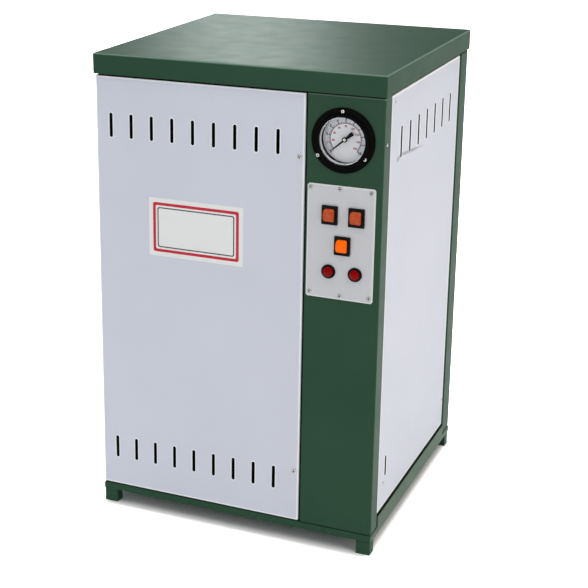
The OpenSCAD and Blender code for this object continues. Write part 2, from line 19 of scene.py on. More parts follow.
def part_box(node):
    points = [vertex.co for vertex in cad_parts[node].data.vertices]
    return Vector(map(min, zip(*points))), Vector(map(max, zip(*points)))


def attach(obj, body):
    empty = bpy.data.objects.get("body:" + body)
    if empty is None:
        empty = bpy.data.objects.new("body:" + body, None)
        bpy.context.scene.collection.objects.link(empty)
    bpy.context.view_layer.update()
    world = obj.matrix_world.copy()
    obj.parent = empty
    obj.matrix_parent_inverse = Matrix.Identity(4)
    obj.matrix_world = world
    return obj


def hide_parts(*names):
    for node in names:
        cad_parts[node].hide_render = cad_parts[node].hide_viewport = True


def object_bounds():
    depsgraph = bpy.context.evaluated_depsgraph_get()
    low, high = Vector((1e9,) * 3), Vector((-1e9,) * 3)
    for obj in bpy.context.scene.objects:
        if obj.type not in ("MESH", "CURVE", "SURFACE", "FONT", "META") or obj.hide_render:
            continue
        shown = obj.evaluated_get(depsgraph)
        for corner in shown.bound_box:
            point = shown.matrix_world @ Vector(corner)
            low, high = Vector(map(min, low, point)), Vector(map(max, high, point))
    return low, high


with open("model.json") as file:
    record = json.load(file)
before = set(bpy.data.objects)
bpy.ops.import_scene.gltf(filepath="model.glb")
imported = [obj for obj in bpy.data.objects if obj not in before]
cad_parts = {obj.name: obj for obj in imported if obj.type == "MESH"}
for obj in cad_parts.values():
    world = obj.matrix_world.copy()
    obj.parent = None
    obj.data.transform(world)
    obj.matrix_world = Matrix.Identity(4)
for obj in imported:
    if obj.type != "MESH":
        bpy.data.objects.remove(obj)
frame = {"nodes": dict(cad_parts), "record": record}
cad_low, cad_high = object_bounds()
MM = 0.001
print("CAD nodes:", len(frame["nodes"]),
      "box in mm:", [round(v / MM, 1) for v in cad_high - cad_low])

# %% [markdown]
# ## The camera
# The photographer stood to the right of the machine, a little above its lid, with a long lens.
# We could aim a camera by hand, but its place here was worked out from the cabinet's corners.
# A small lens shift keeps the cabinet left of the middle of the frame, where the photo has it.

# %% Camera
scene = bpy.context.scene


def put(name, data):
    """A new object that carries some data, in the scene."""
    made = bpy.data.objects.new(name, data)
    scene.collection.objects.link(made)
    return made


IMAGE_PX, FOCAL_PX = 588, 1440.0
EYE = Vector((0.7156, -1.8722, 0.9797))
TILT_DEG, TURN_DEG = 72.66, 24.12
CENTRE_PX = (212.0, 246.0)
SENSOR_MM, CLIP_END = 36.0, 100.0

eye_data = bpy.data.cameras.new("photo_camera")
eye = put("photo_camera", eye_data)
eye.location = EYE
eye.rotation_euler = (radians(TILT_DEG), 0.0, radians(TURN_DEG))
eye_data.sensor_width = SENSOR_MM
eye_data.lens = FOCAL_PX / IMAGE_PX * SENSOR_MM
eye_data.shift_x = (IMAGE_PX / 2 - CENTRE_PX[0]) / IMAGE_PX
eye_data.shift_y = (CENTRE_PX[1] - IMAGE_PX / 2) / IMAGE_PX
eye_data.clip_end = CLIP_END
scene.camera = eye
print("camera lens", round(eye_data.lens, 1),
      "mm, shift", round(eye_data.shift_x, 3), round(eye_data.shift_y, 3))

# %% [markdown]
# ## A toolbox for nodes
# The sky and every finish are trees of nodes, and a node takes a line for each input. So `wire`
# fills all of a node's inputs, `add_node` makes a node, and the rest are the kinds used most, such
# as `minus`. An output knows the tree that it is in.


# %% Node helpers
def is_output(value):
    """Whether a value is a node's output and not a plain number or colour."""
    return isinstance(value, bpy.types.NodeSocket)


def wire(node, inputs):
    """Fills a node's inputs, each with a plain value or with another node's output."""
    for name, value in inputs.items():
        socket = node.inputs[name]
        if is_output(value):
            node.id_data.links.new(value, socket)
        else:
            socket.default_value = (*value, 1.0) if socket.type == "RGBA" else value


def add_node(kind, inputs, tree=None, **settings):
    """A new node, in the tree that its inputs come from."""
    tree = tree or next(value.id_data for value in inputs.values() if is_output(value))
    node = tree.nodes.new("ShaderNode" + kind)
    for setting, value in settings.items():
        setattr(node, setting, value)
    wire(node, inputs)
    return node


def calc(how, first, second=0.0, clamp=False):
    """One step of arithmetic between two amounts."""
    node = add_node("Math", {0: first, 1: second}, operation=how, use_clamp=clamp)
    return node.outputs["Value"]


minus, times, least, most = [
    partial(calc, how) for how in ("SUBTRACT", "MULTIPLY", "MINIMUM", "MAXIMUM")]


def ranged(amount, low, high, to_low, to_high, easing="LINEAR"):
    """An amount between low and high, carried over into another range."""
    inputs = {"Value": amount, "From Min": low, "From Max": high,
              "To Min": to_low, "To Max": to_high}
    return add_node("MapRange", inputs, interpolation_type=easing).outputs["Result"]


MIX_BELOW, MIX_ABOVE, MIX_RESULT = 6, 7, 2


def tint(amount, below, above):
    """Lays one colour over another by an amount from 0 to 1."""
    inputs = {"Factor": amount, MIX_BELOW: below, MIX_ABOVE: above}
    return add_node("Mix", inputs, data_type="RGBA").outputs[MIX_RESULT]


def place_of(shader):
    """The surface's own place in metres, the same from every camera."""
    return add_node("TexCoord", {}, shader.id_data).outputs["Object"]


def axes_of(where):
    """A place's three coordinates, to be picked as X, Y and Z."""
    return add_node("SeparateXYZ", {"Vector": where}).outputs


print("node helpers ready")

# %% [markdown]
# ## Light and surroundings
# A product photograph is lit softly from all round, so most of the light comes from a pale sky
# dome. The room behind the machine is darker, and the satin lid mirrors it on its right half, so
# the dome is dimmed towards the back: the dot product of two directions says how far a ray points
# that way. The colours are shown as they are, with the Standard view transform.

# %% Sky dome
SKY_COLOUR = (0.96, 0.975, 1.0)
SKY_STRENGTH, DIM_STRENGTH = 0.49, 0.165
DIM_TOWARDS = Vector((0.10, 1.0, 0.20)).normalized()
DIM_START, DIM_FULL = 0.62, 0.97

scene.view_settings.view_transform = "Standard"
sky = bpy.data.worlds.new("studio_sky")
sky.use_nodes = True
sky_tree = sky.node_tree
sky_ray = add_node("TexCoord", {}, sky_tree).outputs["Generated"]
towards = add_node("VectorMath", {0: sky_ray, 1: DIM_TOWARDS}, operation="DOT_PRODUCT")
dimmed = ranged(
    towards.outputs["Value"], DIM_START, DIM_FULL, SKY_STRENGTH, DIM_STRENGTH, "SMOOTHSTEP")
scene.world = sky
print("sky strength", SKY_STRENGTH, "and towards the back", DIM_STRENGTH)

# %% [markdown]
# A studio's white backdrop rises behind the floor. From a low view the camera would look past the
# floor's end at the grey dome, so the dome's lowest band is plain white to the camera. The Light
# Path node tells the camera's rays from the ones that light the machine. Rays mirrored in gloss or
# bent by glass see a share of that white too.


# %% White horizon
def seen_share(tree, mirrored):
    """One for the camera's rays, a share for those of gloss and glass, nothing for the rest."""
    path = add_node("LightPath", {}, tree).outputs
    share = path["Is Camera Ray"]
    for kind in ("Is Glossy Ray", "Is Transmission Ray"):
        either = add_node("Math", {0: path[kind], 1: mirrored, 2: share},
                          operation="MULTIPLY_ADD", use_clamp=True)
        share = either.outputs["Value"]
    return share


HORIZON_WHITE, HORIZON_CLEAR, HORIZON_MIRRORED = 0.18, 0.25, 0.25
HORIZON_STRENGTH = 1.0
horizon = ranged(axes_of(sky_ray)["Z"], HORIZON_WHITE, HORIZON_CLEAR, 1.0, 0.0)
whitened = times(horizon, seen_share(sky_tree, HORIZON_MIRRORED))
strength = add_node("Mix", {"Factor": whitened, "A": dimmed, "B": HORIZON_STRENGTH})
wire(sky_tree.nodes["Background"], {"Color": SKY_COLOUR, "Strength": strength.outputs["Result"]})
print("white below", round(degrees(asin(HORIZON_WHITE)), 1), "degrees")

# %% [markdown]
# Four area lamps shape the light: one on the right gives the side panel its brighter tone, one
# behind on the left is the pale sheen that lies across the lid, one overhead draws the thin bright
# line along every upper fold, and a low one in front reaches in under the lid's edge and leaves a
# faint sheen on the right half of the green front.


# %% Lamps
def softbox(name, place, aim, size, watts, colour):
    """A rectangular area lamp that points at a spot on the object."""
    data = bpy.data.lights.new(name, "AREA")
    data.shape = "RECTANGLE"
    data.size, data.size_y = size
    data.energy = watts
    data.color = colour
    lamp = put(name, data)
    lamp.location = place
    lamp.rotation_euler = (Vector(aim) - Vector(place)).to_track_quat("-Z", "Y").to_euler()


WARM, MINT = (1.0, 0.91, 0.79), (0.90, 0.99, 0.97)
PLAIN, COOL = (1.0, 1.0, 1.0), (0.97, 0.98, 1.0)
MIDDLE, LID_MIDDLE, FOOT = (cad_low + cad_high) / 2, (0.0, 0.0, 0.66), (0.0, 0.0, 0.0)
softbox("side_softbox", (2.6, -0.6, 1.7), MIDDLE, size=(1.6, 1.6), watts=23.5, colour=WARM)
softbox("lid_softbox", (-1.56, 3.54, 2.15), LID_MIDDLE, size=(0.62, 1.6), watts=25.0, colour=MINT)
softbox("top_softbox", (0.0, -0.4, 3.6), FOOT, size=(3.0, 3.0), watts=42.0, colour=PLAIN)
softbox("front_softbox", (-0.95, -3.7, 0.4), MIDDLE, size=(0.9, 0.5), watts=14.5, colour=COOL)

# %% [markdown]
# ## The floor
# The floor is a wide pale sheet that takes the cabinet's shadow and is overexposed to plain white,
# as a studio sweep is. The Light Path node does that: the camera's rays see a brighter sheet, and
# mirrored ones a share of it, while the light that it throws back is that of white paper. Near the
# cabinet it is hardly brightened, which is a painted shadow: the floor's colour is darker at the
# base than its light alone makes it. The brightening grows with the distance from the base's
# rectangle, the length of what is left of a point once the half sides are taken off. Light gets in
# under the side sills, so the rectangle of painted shadow is narrower.


# %% Floor
def blank_finish(name):
    """A new material and its main shader."""
    finish = bpy.data.materials.new(name)
    finish.use_nodes = True
    return finish, finish.node_tree.nodes["Principled BSDF"]


FLOOR_HALF = 30.0
PAPER = (0.88, 0.88, 0.88)
# Near the base the floor is brightened less: a painted shadow
NEAR_EXPOSURE, FAR_EXPOSURE, EXPOSURE_REACH = 1.05, 3.2, 0.019
SHADOW_INSET = 0.011
MIRRORED_SHARE = 0.6
NOTHING = (0, 0, 0)

floor_mesh = bpy.data.meshes.new("studio_floor")
signs = ((-1, -1), (1, -1), (1, 1), (-1, 1))
floor_mesh.from_pydata([(x * FLOOR_HALF, y * FLOOR_HALF, 0) for x, y in signs], [], [(0, 1, 2, 3)])
floor = put("studio_floor", floor_mesh)
floor_paint, floor_shader = blank_finish("floor_white")
floor_tree = floor_paint.node_tree
base_low, base_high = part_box("base_tray")
base_middle, base_half = (base_low + base_high) / 2, (base_high - base_low) / 2
outside = place_of(floor_shader)
floor_tree.nodes.remove(floor_shader)
for how, value in (("SUBTRACT", (base_middle.x, base_middle.y, 0)), ("ABSOLUTE", NOTHING),
                   ("SUBTRACT", (base_half.x - SHADOW_INSET, base_half.y, 0)),
                   ("MAXIMUM", NOTHING)):
    step = add_node("VectorMath", {0: outside, 1: value}, operation=how)
    outside = step.outputs["Vector"]
away = add_node("VectorMath", {0: outside}, operation="LENGTH").outputs["Value"]
exposure = ranged(away, 0.0, EXPOSURE_REACH, NEAR_EXPOSURE, FAR_EXPOSURE, "SMOOTHSTEP")
exposed = tint(seen_share(floor_tree, MIRRORED_SHARE), PAPER, exposure)
floor_sheet = add_node("BsdfDiffuse", {"Color": exposed})
wire(floor_tree.nodes["Material Output"], {"Surface": floor_sheet.outputs["BSDF"]})
floor_mesh.materials.append(floor_paint)
print("floor half side", FLOOR_HALF, "m")

# %% [markdown]
# ## A toolbox for finishes
# Every finish below is built from the same few nodes: a noise texture read in the object's own
# metres, a colour ramp that turns the noise into two close shades, and a bump that lets the light
# catch the surface.

# %% Finish helpers
SHADE_STOPS = (0.3, 0.7)
NOISE_LOW, NOISE_HIGH = 0.25, 0.75


def noise(where, grain_mm, detail=2.0, stretch=None):
    """Noise whose blotches are about grain_mm across."""
    if stretch is not None:
        where = add_node("Mapping", {"Vector": where, "Scale": stretch}).outputs["Vector"]
    inputs = {"Vector": where, "Scale": 1.0 / (grain_mm * MM), "Detail": detail}
    return add_node("TexNoise", inputs).outputs["Fac"]


def shades(amount, dark, light):
    """Turns an amount from 0 to 1 into a colour between two shades."""
    ramp = add_node("ValToRGB", {"Fac": amount})
    for stop, place, colour in zip(ramp.color_ramp.elements, SHADE_STOPS, (dark, light)):
        stop.position = place
        stop.color = (*colour, 1.0)
    return ramp.outputs["Color"]


def spread(amount, low, high):
    """Noise, which keeps near its middle, stretched over the range from low to high."""
    return ranged(amount, NOISE_LOW, NOISE_HIGH, low, high)


def raise_bumps(shader, amount, depth_mm, strength, under=None):
    """Lets an amount from 0 to 1 tilt the surface as bumps of that depth."""
    inputs = {"Height": amount, "Distance": depth_mm * MM, "Strength": strength}
    if under is not None:
        inputs["Normal"] = under
    bumps = add_node("Bump", inputs).outputs["Normal"]
    wire(shader, {"Normal": bumps})
    return bumps


print("noise is read between", NOISE_LOW, "and", NOISE_HIGH)

# %% [markdown]
# ## Powder coat, green and white
# Powder coat is baked on: satin, with a fine orange-peel grain about a millimetre across and very
# slight clouds of tone where the coat is thicker. A plain colour would look like a drawing, so
# each coat mixes two close shades, varies its roughness and carries the peel as bump. The sheet
# under it is never quite flat, which a second, much broader and shallower bump shows in the sheen.

# %% Powder coat
GLOSS_VARY = 0.03


def powder_coat(name, dark, light, roughness, shine):
    """A baked satin coat: the finish, its shader, its place and its colour."""
    finish, shader = blank_finish(name)
    where = place_of(shader)
    colour = shades(noise(where, grain_mm=140.0, detail=3.0), dark, light)
    gloss = spread(noise(where, grain_mm=30.0), roughness - GLOSS_VARY, roughness + GLOSS_VARY)
    wire(shader, {"Base Color": colour, "Roughness": gloss, "Specular IOR Level": shine})
    broad, peel = noise(where, grain_mm=260.0, detail=1.0), noise(where, grain_mm=1.1)
    waves = raise_bumps(shader, broad, depth_mm=0.4, strength=0.15)
    raise_bumps(shader, peel, depth_mm=0.05, strength=0.5, under=waves)
    return SimpleNamespace(finish=finish, shader=shader, where=where, colour=colour)


def repaint(coat, colour):
    """Gives a coat another colour."""
    wire(coat.shader, {"Base Color": colour})
    coat.colour = colour


GREENS = (0.0275, 0.0725, 0.0430), (0.0330, 0.0815, 0.0485)
WHITES = (0.675, 0.70, 0.79), (0.70, 0.725, 0.815)
SHADOW_GREENS = (0.003, 0.005, 0.004), (0.004, 0.007, 0.005)
SATIN, SHINE, FASCIA_SHINE = 0.40, 0.035, 0.048
green_coat = powder_coat("green_powder_coat", *GREENS, SATIN, SHINE).finish
# The near-black green of the frame inside is painted shade
inner_shade_coat = powder_coat("inner_frame_shade_coat", *SHADOW_GREENS, roughness=0.6, shine=0.03).finish
print("coats:", green_coat.name, inner_shade_coat.name)

# %% [markdown]
# ## Panels with punched slots
# Round a punched slot and along a fold the coat has a paler painted highlight, and the cut wall
# inside the slot a dark painted shade. Both follow from the distance to the nearest slot: rounding
# finds which slot of the row that is, and the slot's half width is taken off the distance to its
# straight core. A highlight is broader beside a slot than past its ends, so a squat one counts
# heights more.

# %% Slot and edge distances
SLOT_R = 2.0 * MM


def slot_distance(across, up, row, squat):
    """Distance from a point of a panel to a row's nearest slot, longer past the slot's ends."""
    first, pitch, count, middle, length = row
    steps = calc("ROUND", calc("DIVIDE", minus(across, first), pitch))
    nearest = most(least(steps, count - 1), 0.0)
    core = calc("ADD", times(nearest, pitch), first)
    beside = minus(across, core)
    above = calc("ABSOLUTE", minus(up, middle))
    past = most(minus(above, length / 2 - SLOT_R), 0.0)
    squares = [times(side, side) for side in (beside, past)]
    from_core = calc("SQRT", calc("ADD", *squares))
    beyond = most(minus(above, length / 2), 0.0)
    return calc("ADD", minus(from_core, SLOT_R), times(beyond, squat - 1.0))


def edge_distance(across, up, edges, squat):
    """Distance from a point of a panel to the panel's own edge; heights may count more."""
    left, right, low, high = edges
    sideways = least(minus(across, left), minus(right, across))
    upright = least(minus(up, low), minus(high, up))
    return least(sideways, times(upright, squat))


def fading(distance, reach):
    """One where the distance is zero, falling to nothing at the reach."""
    return minus(1.0, calc("DIVIDE", distance, reach), clamp=True)


print("slot width in mm:", round(2 * SLOT_R / MM, 1))

# %% [markdown]
# ## Highlights on the folds
# The green is paler along the upper folds of the lid and the fascia: a painted highlight where a
# fold catches the light. A point is on such a fold when it is close to the piece's outer faces and
# to its top at once: the greater of those two distances is small.

# %% Fold highlight coats
FOLD = 2.2 * MM
# Colour of the painted highlight on the folds
FOLD_HIGHLIGHT = (0.26, 0.38, 0.32)


def rubbed_coat(name, shine, node, outer_sides):
    """Green coat with a painted highlight along the upper folds of one CAD piece."""
    coat = powder_coat(name, *GREENS, SATIN, shine)
    axes = axes_of(coat.where)
    low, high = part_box(node)
    faces = {"left": ("X", low.x, 1.0), "right": ("X", high.x, -1.0),
             "front": ("Y", low.y, 1.0), "rear": ("Y", high.y, -1.0)}
    inwards = [times(minus(axes[axis], face), sign)
               for axis, face, sign in (faces[side] for side in outer_sides)]
    below = minus(high.z, axes["Z"])
    fold_highlight = fading(most(reduce(least, inwards), below), FOLD)
    # Paler green on the folds: a painted highlight
    repaint(coat, tint(fold_highlight, coat.colour, FOLD_HIGHLIGHT))
    return coat.finish


lid_coat = rubbed_coat("lid_green_coat", SHINE, "lid", ("left", "right", "front", "rear"))
fascia_coat = rubbed_coat("fascia_green_coat", FASCIA_SHINE, "control_fascia", ("front", "right"))
print("fold highlight coats:", lid_coat.name, fascia_coat.name)

# %% [markdown]
# The base's side sills carry painted light: their outer skin is paler than the green of its front
# rim, as the sides catch more light. One distance is enough here, from the outermost faces at the
# left and right.

# %% Painted light on the sills
SILL_SKIN, SILL_SHARE, SILL_LIT_PALE = 1.0 * MM, 0.80, (0.100, 0.165, 0.112)
sill = powder_coat("sill_green_coat", *GREENS, SATIN, SHINE)
from_middle = calc("ABSOLUTE", minus(axes_of(sill.where)["X"], base_middle.x))
on_skin = calc("GREATER_THAN", from_middle, base_half.x - SILL_SKIN)
# The paler outer skin is painted light
sill_light_share = times(on_skin, SILL_SHARE)
repaint(sill, tint(sill_light_share, sill.colour, SILL_LIT_PALE))
print("sill skin", round(SILL_SKIN / MM, 1), "mm")

# %% [markdown]
# ## The white panels' coats
# A panel's coat reads two of its own axes: `across` runs along the panel and `up` is its height.
# The paler painted highlight lies round slots and edges; the cut wall and a narrow rim round the
# slot get a dark painted shade. So does a hair's breadth of a panel along the lid, the rim or the
# sill: painted shade in the seam.

# %% Panel coat
# The painted highlight's colour and strength, then the painted shade of cuts and seams
HIGHLIGHT_PALE, HIGHLIGHT_BOLD = (0.945, 0.965, 1.0), 3.0
PAINTED_SHADE = (0.012, 0.013, 0.013)
HAIR = 0.05 * MM


def panel_coat(name, across_axis, rows, edges, rim, highlight_widths, squats):
    """White slotted-panel coat; rim, highlight_widths and squats are those of slots and edges."""
    coat = powder_coat(name, *WHITES, roughness=0.48, shine=0.25)
    axes = axes_of(coat.where)
    across, up = axes[across_axis], axes["Z"]
    slot = reduce(least, [slot_distance(across, up, row, squats[0]) for row in rows])
    edge = edge_distance(across, up, edges, squats[1])
    near = most(fading(slot, highlight_widths[0]), fading(edge, highlight_widths[1]))
    # Painted highlight near slots and edges, then painted shade in cuts, their rims and the seams
    highlight = times(near, HIGHLIGHT_BOLD, clamp=True)
    colour = tint(highlight, coat.colour, HIGHLIGHT_PALE)
    colour = tint(calc("LESS_THAN", slot, rim), colour, PAINTED_SHADE)
    repaint(coat, tint(calc("LESS_THAN", edge, -HAIR), colour, PAINTED_SHADE))
    return coat


def edges_of(node, axis, low_shade=0.0, high_shade=0.0):
    """A panel's left, right, low and high edges along one axis and Z, less its painted seam shade.
    """
    low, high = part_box(node)
    return getattr(low, axis), getattr(high, axis), low.z + low_shade, high.z - high_shade


print("painted highlight colour", HIGHLIGHT_PALE, "and painted shade colour", PAINTED_SHADE)

# %% [markdown]
# The door and the rear panel have the same two rows of nine slots. A row is five values: the first
# slot's place, the pitch, the number of slots, the height of their middles and their length.

# %% Door and rear coats
SLOT_L, SLOT_PITCH, SLOTS = 32.5 * MM, 30.0 * MM, 9
DOOR_SLOT_START, ROW_HEIGHTS = 22.5 * MM, (89.5 * MM, 560.1 * MM)
# Widths of the painted shade round a slot and in the top and bottom seams, then of the highlights
DOOR_RIM, DOOR_SEAM_SHADE = 0.4 * MM, 0.9 * MM
DOOR_HIGHLIGHT_WIDTHS, DOOR_SQUATS = (1.9 * MM, 2.7 * MM), (1.0, 1.0)
door_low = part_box("front_door")[0]
rear_low, rear_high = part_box("rear_panel")


def door_like_coat(name, node, first):
    """Coat of a panel with the door's two rows of slots."""
    rows = [(first, SLOT_PITCH, SLOTS, height, SLOT_L) for height in ROW_HEIGHTS]
    edges = edges_of(node, "x", DOOR_SEAM_SHADE, DOOR_SEAM_SHADE)
    return panel_coat(name, "X", rows, edges, DOOR_RIM, DOOR_HIGHLIGHT_WIDTHS, DOOR_SQUATS).finish


door_coat = door_like_coat("door_white_coat", "front_door", door_low.x + DOOR_SLOT_START)
rear_coat = door_like_coat("rear_white_coat", "rear_panel", -SLOT_PITCH * (SLOTS - 1) / 2)
print("panel coats:", door_coat.name, rear_coat.name)

# %% [markdown]
# ## The streaked side panel
# A darker grey streak runs under the side panel's first slots. It is drawn in the finish, not as a
# shape. Two amounts are multiplied: how close a point is to the streak's line, and a stretched
# noise that breaks the line up. A second, shorter streak crosses its start.

# %% Side panel coats
STREAKS = (((-0.125, 0.5392), (-0.014, 0.5290), 0.0032),
        ((-0.1430, 0.5350), (-0.1170, 0.5412), 0.0045))
STREAK_GREY = (0.09, 0.09, 0.105)
STREAK_STOPS = ((0.08, 1.0), (0.6, 0.75))


def rub_amount(where, start, end, half_width):
    """How strongly a streak along a line in Y and Z shows at a point."""
    axes = axes_of(where)
    along = calc("DIVIDE", minus(axes["Y"], start[0]), end[0] - start[0])
    line = calc("ADD", times(along, end[1] - start[1]), start[1])
    off_line = calc("ABSOLUTE", minus(axes["Z"], line))
    near = fading(off_line, half_width)
    ends = add_node("ValToRGB", {"Fac": along})
    stops = ends.color_ramp.elements
    stops[0].color = stops[1].color = (0, 0, 0, 1)
    for place, level in STREAK_STOPS:
        stops.new(place).color = (level, level, level, 1)
    patchy = noise(where, grain_mm=9.0, detail=3.0, stretch=(1.0, 0.35, 2.0))
    bold = times(near, ends.outputs["Color"])
    return times(bold, spread(patchy, low=0.5, high=1.0), clamp=True)


SIDE_ROWS = [(-125.1 * MM, 39.0 * MM, 7, 556.6 * MM, 41.0 * MM),
             (-140.1 * MM, 39.0 * MM, 1, 105.8 * MM, 29.0 * MM)]
# Widths of the painted shade round a slot and in the seam along the sill, then of the highlights
SIDE_RIM, SILL_SEAM_SHADE = 1.5 * MM, 2.0 * MM
SIDE_HIGHLIGHT_WIDTHS, SIDE_SQUATS = (5.2 * MM, 6.0 * MM), (3.0, 1.6)
side_edges = edges_of("side_panel_right", "y", SILL_SEAM_SHADE)
side_look = ("Y", SIDE_ROWS, side_edges, SIDE_RIM, SIDE_HIGHLIGHT_WIDTHS, SIDE_SQUATS)
left_coat = panel_coat("left_white_coat", *side_look).finish
right = panel_coat("streaked_white_coat", *side_look)
for streak in STREAKS:
    repaint(right, tint(rub_amount(right.where, *streak), right.colour, STREAK_GREY))
print("side panel coats:", left_coat.name, right.finish.name)

# %% [markdown]
# ## Plastics, enamel and metals
# The lamp bezels are spark-textured black plastic, the gauge is smooth black enamel, and the
# control plate is matt aluminium with a faint vertical grain. Brass and bright steel are metals:
# their colour is the colour of their reflection, so Metallic is 1 and roughness does the rest.

# %% Hard finishes
GRAIN_VARY = 0.04


def grained(name, dark, light, roughness, grain_mm, depth_mm,
            metallic=0.0, shine=0.5, stretch=None):
    """A hard finish with a fine grain that shows in its tone and its bump."""
    finish, shader = blank_finish(name)
    grain = noise(place_of(shader), grain_mm, detail=3.0, stretch=stretch)
    gloss = spread(grain, roughness - GRAIN_VARY, roughness + GRAIN_VARY)
    wire(shader, {"Base Color": shades(grain, dark, light), "Roughness": gloss,
                  "Metallic": metallic, "Specular IOR Level": shine})
    raise_bumps(shader, grain, depth_mm, strength=0.5)
    return finish


def grey(level):
    """A colour without a hue."""
    return level, level, level


# After the two shades come the roughness, the grain and its depth in mm
black_plastic = grained("black_plastic", grey(0.003), grey(0.005), 0.45, 0.5, 0.03, shine=0.05)
gauge_enamel = grained("gauge_black_enamel", grey(0.002), grey(0.004), 0.30, 2.5, 0.02, shine=0.012)
dial_enamel = grained(
    "dial_white_enamel", (0.94, 0.955, 0.99), (0.96, 0.975, 1.0), 0.45, 6.0, 0.01, shine=0.2)
pointer_enamel = grained(
    "pointer_black_enamel", grey(0.003), grey(0.005), 0.6, 1.0, 0.01, shine=0.08)
plate_metal = grained(
    "matt_aluminium", (0.60, 0.61, 0.635), (0.64, 0.65, 0.675), 0.5, 0.6, 0.02, shine=0.4,
    stretch=(1.0, 1.0, 0.15))
bright_liner = grained(
    "bright_aluminium", (0.94, 0.94, 0.96), (0.98, 0.98, 0.99), 0.22, 1.5, 0.01, metallic=0.5)
screw_steel = grained(
    "zinc_plated_steel", (0.46, 0.45, 0.44), (0.58, 0.57, 0.55), 0.34, 0.8, 0.02, metallic=1.0)
dull_steel = grained("dull_steel", grey(0.36), (0.46, 0.46, 0.45), 0.36, 0.8, 0.02, metallic=1.0)
screw_white = grained(
    "white_screw_paint", (0.70, 0.71, 0.75), (0.74, 0.75, 0.79), 0.45, 0.8, 0.02, shine=0.25)
# A near-black finish laid in recesses: painted shade
painted_recess_shade = grained("recess_shadow", grey(0.004), grey(0.008), 0.6, 0.8, 0.02, shine=0.1)
turned_brass = grained(
    "turned_brass", (0.62, 0.45, 0.17), (0.72, 0.54, 0.23), 0.28, 1.2, 0.02, metallic=1.0,
    stretch=(1.0, 6.0, 1.0))
pale_brass = grained(
    "pale_brass", (0.78, 0.72, 0.56), (0.84, 0.78, 0.62), 0.35, 1.2, 0.02, metallic=1.0)
print("finishes so far:", len(bpy.data.materials))

# %% [markdown]
# The control plate's rounded edge catches the light. The same edge distance as on the panels makes
# a narrow border of the plate brighter.

# %% Bright plate edge
PLATE_EDGE, PLATE_PALE = 1.7 * MM, (0.93, 0.93, 0.94)
plate_shader = plate_metal.node_tree.nodes["Principled BSDF"]
plate_axes = axes_of(place_of(plate_shader))
plate_edges = edges_of("control_plate", "x")
border = edge_distance(plate_axes["X"], plate_axes["Z"], plate_edges, squat=1.0)
sheet_colour = plate_shader.inputs["Base Color"].links[0].from_socket
edged = tint(fading(border, PLATE_EDGE), sheet_colour, PLATE_PALE)
wire(plate_shader, {"Base Color": edged})
print("plate border", round(PLATE_EDGE / MM, 1), "mm")

# %% [markdown]
# ## Glass and lamp lenses
# The gauge window is thin clear glass. The lamp lenses are moulded translucent plastic; light goes
# in, scatters and comes back coloured, which subsurface scattering gives. The lower square lamp is
# lit, so it also glows a little.


# %% Clear and coloured lenses
def lens_plastic(name, dark, light, glow=0.0):
    """Translucent moulded plastic, glossy outside and cloudy inside."""
    finish, shader = blank_finish(name)
    where = place_of(shader)
    colour = shades(noise(where, grain_mm=5.0), dark, light)
    gloss = spread(noise(where, grain_mm=2.0), low=0.05, high=0.10)
    wire(shader, {"Base Color": colour, "Roughness": gloss, "Specular IOR Level": 0.05,
                  "Subsurface Weight": 0.12, "Subsurface Scale": 2.0 * MM})
    if glow:
        wire(shader, {"Emission Color": colour, "Emission Strength": glow})
    return finish


window_glass, glass_shader = blank_finish("window_glass")
wire(glass_shader, {"Base Color": grey(0.02), "Alpha": 0.025, "Roughness": 0.03})
glass_waves = noise(place_of(glass_shader), grain_mm=25.0)
raise_bumps(glass_shader, glass_waves, depth_mm=0.02, strength=0.2)
orange_lens = lens_plastic("orange_lens", (0.50, 0.075, 0.022), (0.62, 0.11, 0.035))
amber_lens = lens_plastic("amber_lens", (0.86, 0.11, 0.001), (0.92, 0.14, 0.001), glow=0.33)
red_lens = lens_plastic("red_lens", (0.25, 0.0005, 0.001), (0.31, 0.001, 0.002))
print("lenses:", orange_lens.name, amber_lens.name, red_lens.name)

# %% [markdown]
# ## Finishes for the CAD pieces
# The CAD solids already have the right shape, so each one only needs its finish. The record says
# which material slot a node belongs to; one small table turns that slot into a finish. A few
# pieces have a coat of their own, and the frame inside the cabinet gets a near-black green that is
# painted shade for the dark inside.

# %% Paint the CAD nodes
FINISH_OF_SLOT = {
    "green_paint": green_coat, "white_paint": door_coat, "black_plastic": black_plastic,
    "gauge_black": gauge_enamel, "dial_white": dial_enamel, "pointer_black": pointer_enamel,
    "bright_metal": bright_liner, "window_glass": window_glass, "plate_metal": plate_metal,
    "lens_orange": orange_lens, "lens_amber": amber_lens, "lens_red": red_lens,
    "brass": turned_brass,
}
hidden_frame = [name for name in frame["nodes"]
                if name.startswith(("post_", "rail_", "mullion")) and name != "post_front_left"]
own_finishes = {
    "side_panel_right": right.finish, "side_panel_left": left_coat, "rear_panel": rear_coat,
    "lid": lid_coat, "control_fascia": fascia_coat, "base_tray": sill.finish,
    **dict.fromkeys(hidden_frame, inner_shade_coat),
}
slot_of_node = {s["node"]: s["material_slot"] for s in frame["record"]["subparts"]}
for node_name, node in frame["nodes"].items():
    node.data.materials.clear()
    slot_finish = FINISH_OF_SLOT[slot_of_node[node_name]]
    node.data.materials.append(own_finishes.get(node_name, slot_finish))
print("painted nodes:", len(slot_of_node), "inner frame:", hidden_frame)

# %% [markdown]
# ## A toolbox for shapes
# Small parts are easiest to make flat on the floor, with their outer side up, and to set on
# the face that carries them. `facing` gives the matrix that turns "up" into the outward direction
# of the front, rear, right or left face.

# %% Placing helpers
FACE_AXES = {
    "front": ((1, 0, 0), (0, 0, 1), (0, -1, 0)), "rear": ((-1, 0, 0), (0, 0, 1), (0, 1, 0)),
    "right": ((0, 1, 0), (0, 0, 1), (1, 0, 0)), "left": ((0, -1, 0), (0, 0, 1), (-1, 0, 0)),
}


